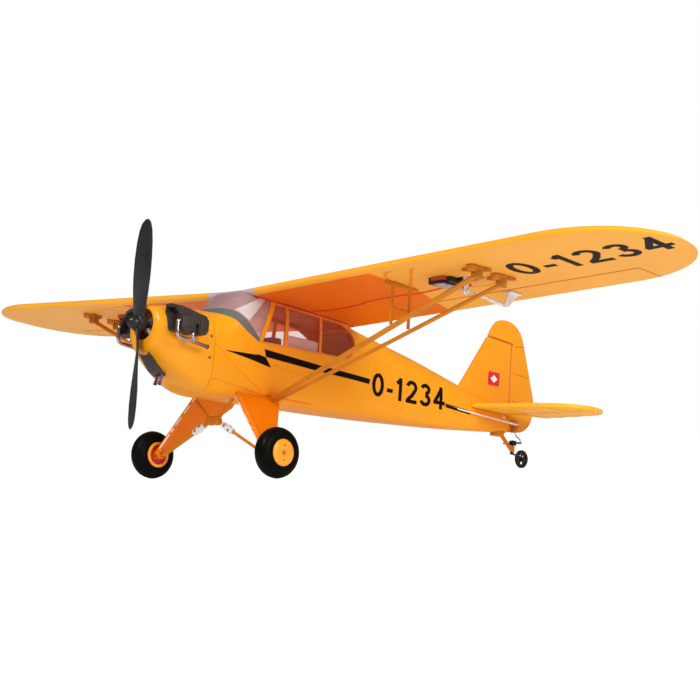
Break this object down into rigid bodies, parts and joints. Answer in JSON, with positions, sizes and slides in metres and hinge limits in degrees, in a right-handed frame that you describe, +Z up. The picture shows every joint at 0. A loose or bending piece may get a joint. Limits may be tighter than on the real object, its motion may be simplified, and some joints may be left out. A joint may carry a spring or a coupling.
{
  "type": "rc foam airplane",
  "caption": "High-wing foam radio-controlled airplane: yellow wing on V struts, glazed cabin, two-blade propeller, tail-wheel undercarriage.",
  "frame": {"origin": "on the ground under the middle of the airplane, between its three wheels, as it stands", "axes": "+X to port along the span, -Y towards the propeller, +Z up from the ground"},
  "size_m": [0.6498, 0.3894, 0.1656],
  "materials": {
    "foam_yellow": "satin painted foam",
    "wheel_disc": "satin",
    "strut_brown": "satin",
    "dark_plastic": "semi-gloss",
    "white_nylon": "satin",
    "tyre_rubber": "glossy",
    "exhaust_chrome": "polished",
    "steel_wire": "brushed",
    "black_plastic": "satin",
    "carbon_strip": "satin",
    "copper_winding": "lacquered wire",
    "battery_wrap": "shrink film",
    "circuit_board": "satin",
    "clear_glazing": "clear"
  },
  "bodies": {
    "root": {"fuselage_left": "foam_yellow", "fuselage_right": "foam_yellow", "nose_cowl": "foam_yellow", "wing": "foam_yellow", "fin": "foam_yellow", "stabilizer": "foam_yellow", "left_gear_leg": "foam_yellow", "right_gear_leg": "foam_yellow", "left_front_strut": "strut_brown", "right_front_strut": "strut_brown", "left_rear_strut": "strut_brown", "right_rear_strut": "strut_brown", "left_jury_strut": "strut_brown", "right_jury_strut": "strut_brown", "gear_wire": "strut_brown", "tail_leg": "strut_brown", "chin_intake": "dark_plastic", "left_cylinders": "dark_plastic", "right_cylinders": "dark_plastic", "left_shock_cord": "white_nylon", "right_shock_cord": "white_nylon", "left_exhaust": "exhaust_chrome", "right_exhaust": "exhaust_chrome", "left_aileron_servo": "black_plastic", "right_aileron_servo": "black_plastic", "rudder_servo": "black_plastic", "elevator_servo": "black_plastic", "motor_mount": "black_plastic", "wing_brace": "carbon_strip", "motor_stator": "copper_winding", "battery": "battery_wrap", "control_board": "circuit_board", "cabin_glazing": "clear_glazing"},
    "propeller": {"motor_bell": "steel_wire", "propeller": "dark_plastic", "prop_nut": "dark_plastic"},
    "left_wheel": {"left_tyre": "tyre_rubber", "left_hub": "wheel_disc"},
    "right_wheel": {"right_tyre": "tyre_rubber", "right_hub": "wheel_disc"},
    "left_aileron": {"left_aileron": "foam_yellow", "left_aileron_horn": "white_nylon"},
    "right_aileron": {"right_aileron": "foam_yellow", "right_aileron_horn": "white_nylon"},
    "left_aileron_servo_arm": {"left_aileron_servo_arm": "white_nylon"},
    "right_aileron_servo_arm": {"right_aileron_servo_arm": "white_nylon"},
    "left_aileron_pushrod": {"left_aileron_pushrod": "white_nylon"},
    "right_aileron_pushrod": {"right_aileron_pushrod": "white_nylon"},
    "elevator": {"elevator": "foam_yellow"},
    "elevator_servo_arm": {"elevator_servo_arm": "white_nylon"},
    "elevator_pushrod": {"elevator_pushrod": "white_nylon"},
    "rudder": {"rudder": "foam_yellow", "rudder_horn": "strut_brown"},
    "rudder_servo_arm": {"rudder_servo_arm": "white_nylon"},
    "rudder_pushrod": {"rudder_pushrod": "white_nylon"},
    "tail_swivel": {"tail_swivel": "black_plastic"},
    "steering_link": {"steering_link": "steel_wire"},
    "tail_wheel": {"tail_wheel": "black_plastic"},
    "belly_hatch": {"belly_hatch": "foam_yellow"}
  },
  "joints": [
    {"name": "propeller_spin", "type": "hinge", "parent": "root", "child": "propeller", "pos_m": [0, -0.18605, 0.09898], "axis": [0, -0.9931, 0.1172], "continuous": true},
    {"name": "left_wheel_spin", "type": "hinge", "parent": "root", "child": "left_wheel", "pos_m": [0.064, -0.12876, 0.0161], "axis": [1, 0, 0], "continuous": true},
    {"name": "right_wheel_spin", "type": "hinge", "parent": "root", "child": "right_wheel", "pos_m": [-0.064, -0.12876, 0.0161], "axis": [1, 0, 0], "continuous": true},
    {"name": "left_aileron_hinge", "type": "hinge", "parent": "root", "child": "left_aileron", "pos_m": [0.174, -0.03701, 0.1127], "axis": [0.9989, 0.0054, 0.0455], "range_deg": [-20, 20]},
    {"name": "left_aileron_servo_turn", "type": "hinge", "parent": "root", "child": "left_aileron_servo_arm", "pos_m": [0.174, -0.06942, 0.11966], "axis": [0.9989, 0.0054, 0.0455], "range_deg": [-20, 20]},
    {"name": "left_aileron_rod_pin", "type": "hinge", "parent": "left_aileron_servo_arm", "child": "left_aileron_pushrod", "pos_m": [0.17441, -0.07048, 0.11073], "axis": [0.9989, 0.0054, 0.0455], "range_deg": [-20, 20]},
    {"name": "right_aileron_hinge", "type": "hinge", "parent": "root", "child": "right_aileron", "pos_m": [-0.174, -0.03701, 0.1127], "axis": [0.9989, -0.0054, -0.0455], "range_deg": [-20, 20]},
    {"name": "right_aileron_servo_turn", "type": "hinge", "parent": "root", "child": "right_aileron_servo_arm", "pos_m": [-0.174, -0.06942, 0.11966], "axis": [0.9989, -0.0054, -0.0455], "range_deg": [-20, 20]},
    {"name": "right_aileron_rod_pin", "type": "hinge", "parent": "right_aileron_servo_arm", "child": "right_aileron_pushrod", "pos_m": [-0.17441, -0.07048, 0.11073], "axis": [0.9989, -0.0054, -0.0455], "range_deg": [-20, 20]},
    {"name": "elevator_hinge", "type": "hinge", "parent": "root", "child": "elevator", "pos_m": [0, 0.15899, 0.04317], "axis": [1, 0, 0], "range_deg": [-25, 25]},
    {"name": "elevator_servo_turn", "type": "hinge", "parent": "root", "child": "elevator_servo_arm", "pos_m": [-0.0095, -0.02508, 0.06874], "axis": [1, 0, 0], "range_deg": [-25, 25]},
    {"name": "elevator_rod_pin", "type": "hinge", "parent": "elevator_servo_arm", "child": "elevator_pushrod", "pos_m": [-0.0095, -0.02625, 0.05881], "axis": [1, 0, 0], "range_deg": [-25, 25]},
    {"name": "rudder_hinge", "type": "hinge", "parent": "root", "child": "rudder", "pos_m": [0, 0.1675, 0.05727], "axis": [0, 0.1172, 0.9931], "range_deg": [-25, 25]},
    {"name": "rudder_servo_turn", "type": "hinge", "parent": "root", "child": "rudder_servo_arm", "pos_m": [0, 0.00239, 0.06266], "axis": [0, 0.1172, 0.9931], "range_deg": [-25, 25]},
    {"name": "rudder_rod_pin", "type": "hinge", "parent": "rudder_servo_arm", "child": "rudder_pushrod", "pos_m": [0.01, 0.00239, 0.06266], "axis": [0, 0.1172, 0.9931], "range_deg": [-25, 25]},
    {"name": "tail_wheel_steer", "type": "hinge", "parent": "root", "child": "tail_swivel", "pos_m": [0, 0.16952, 0.01978], "axis": [0, 0.1172, 0.9931], "range_deg": [-25, 25]},
    {"name": "steering_link_pin", "type": "hinge", "parent": "tail_swivel", "child": "steering_link", "pos_m": [0.008, 0.16963, 0.02067], "axis": [0, 0.1172, 0.9931], "range_deg": [-25, 25]},
    {"name": "tail_wheel_spin", "type": "hinge", "parent": "tail_swivel", "child": "tail_wheel", "pos_m": [0, 0.17969, 0.007], "axis": [1, 0, 0], "continuous": true},
    {"name": "belly_hatch_hinge", "type": "hinge", "parent": "root", "child": "belly_hatch", "pos_m": [0, -0.11932, 0.05093], "axis": [-1, 0, 0], "range_deg": [0, 80]}
  ],
  "couplings": [
    {"joint": "right_aileron_hinge", "follows": "left_aileron_hinge", "ratio": -1},
    {"joint": "left_aileron_servo_turn", "follows": "left_aileron_hinge", "ratio": 1},
    {"joint": "left_aileron_rod_pin", "follows": "left_aileron_hinge", "ratio": -1},
    {"joint": "right_aileron_servo_turn", "follows": "left_aileron_hinge", "ratio": -1},
    {"joint": "right_aileron_rod_pin", "follows": "left_aileron_hinge", "ratio": 1},
    {"joint": "elevator_servo_turn", "follows": "elevator_hinge", "ratio": 1},
    {"joint": "elevator_rod_pin", "follows": "elevator_hinge", "ratio": -1},
    {"joint": "rudder_servo_turn", "follows": "rudder_hinge", "ratio": 1},
    {"joint": "rudder_rod_pin", "follows": "rudder_hinge", "ratio": -1},
    {"joint": "tail_wheel_steer", "follows": "rudder_hinge", "ratio": 1},
    {"joint": "steering_link_pin", "follows": "rudder_hinge", "ratio": -1}
  ]
}
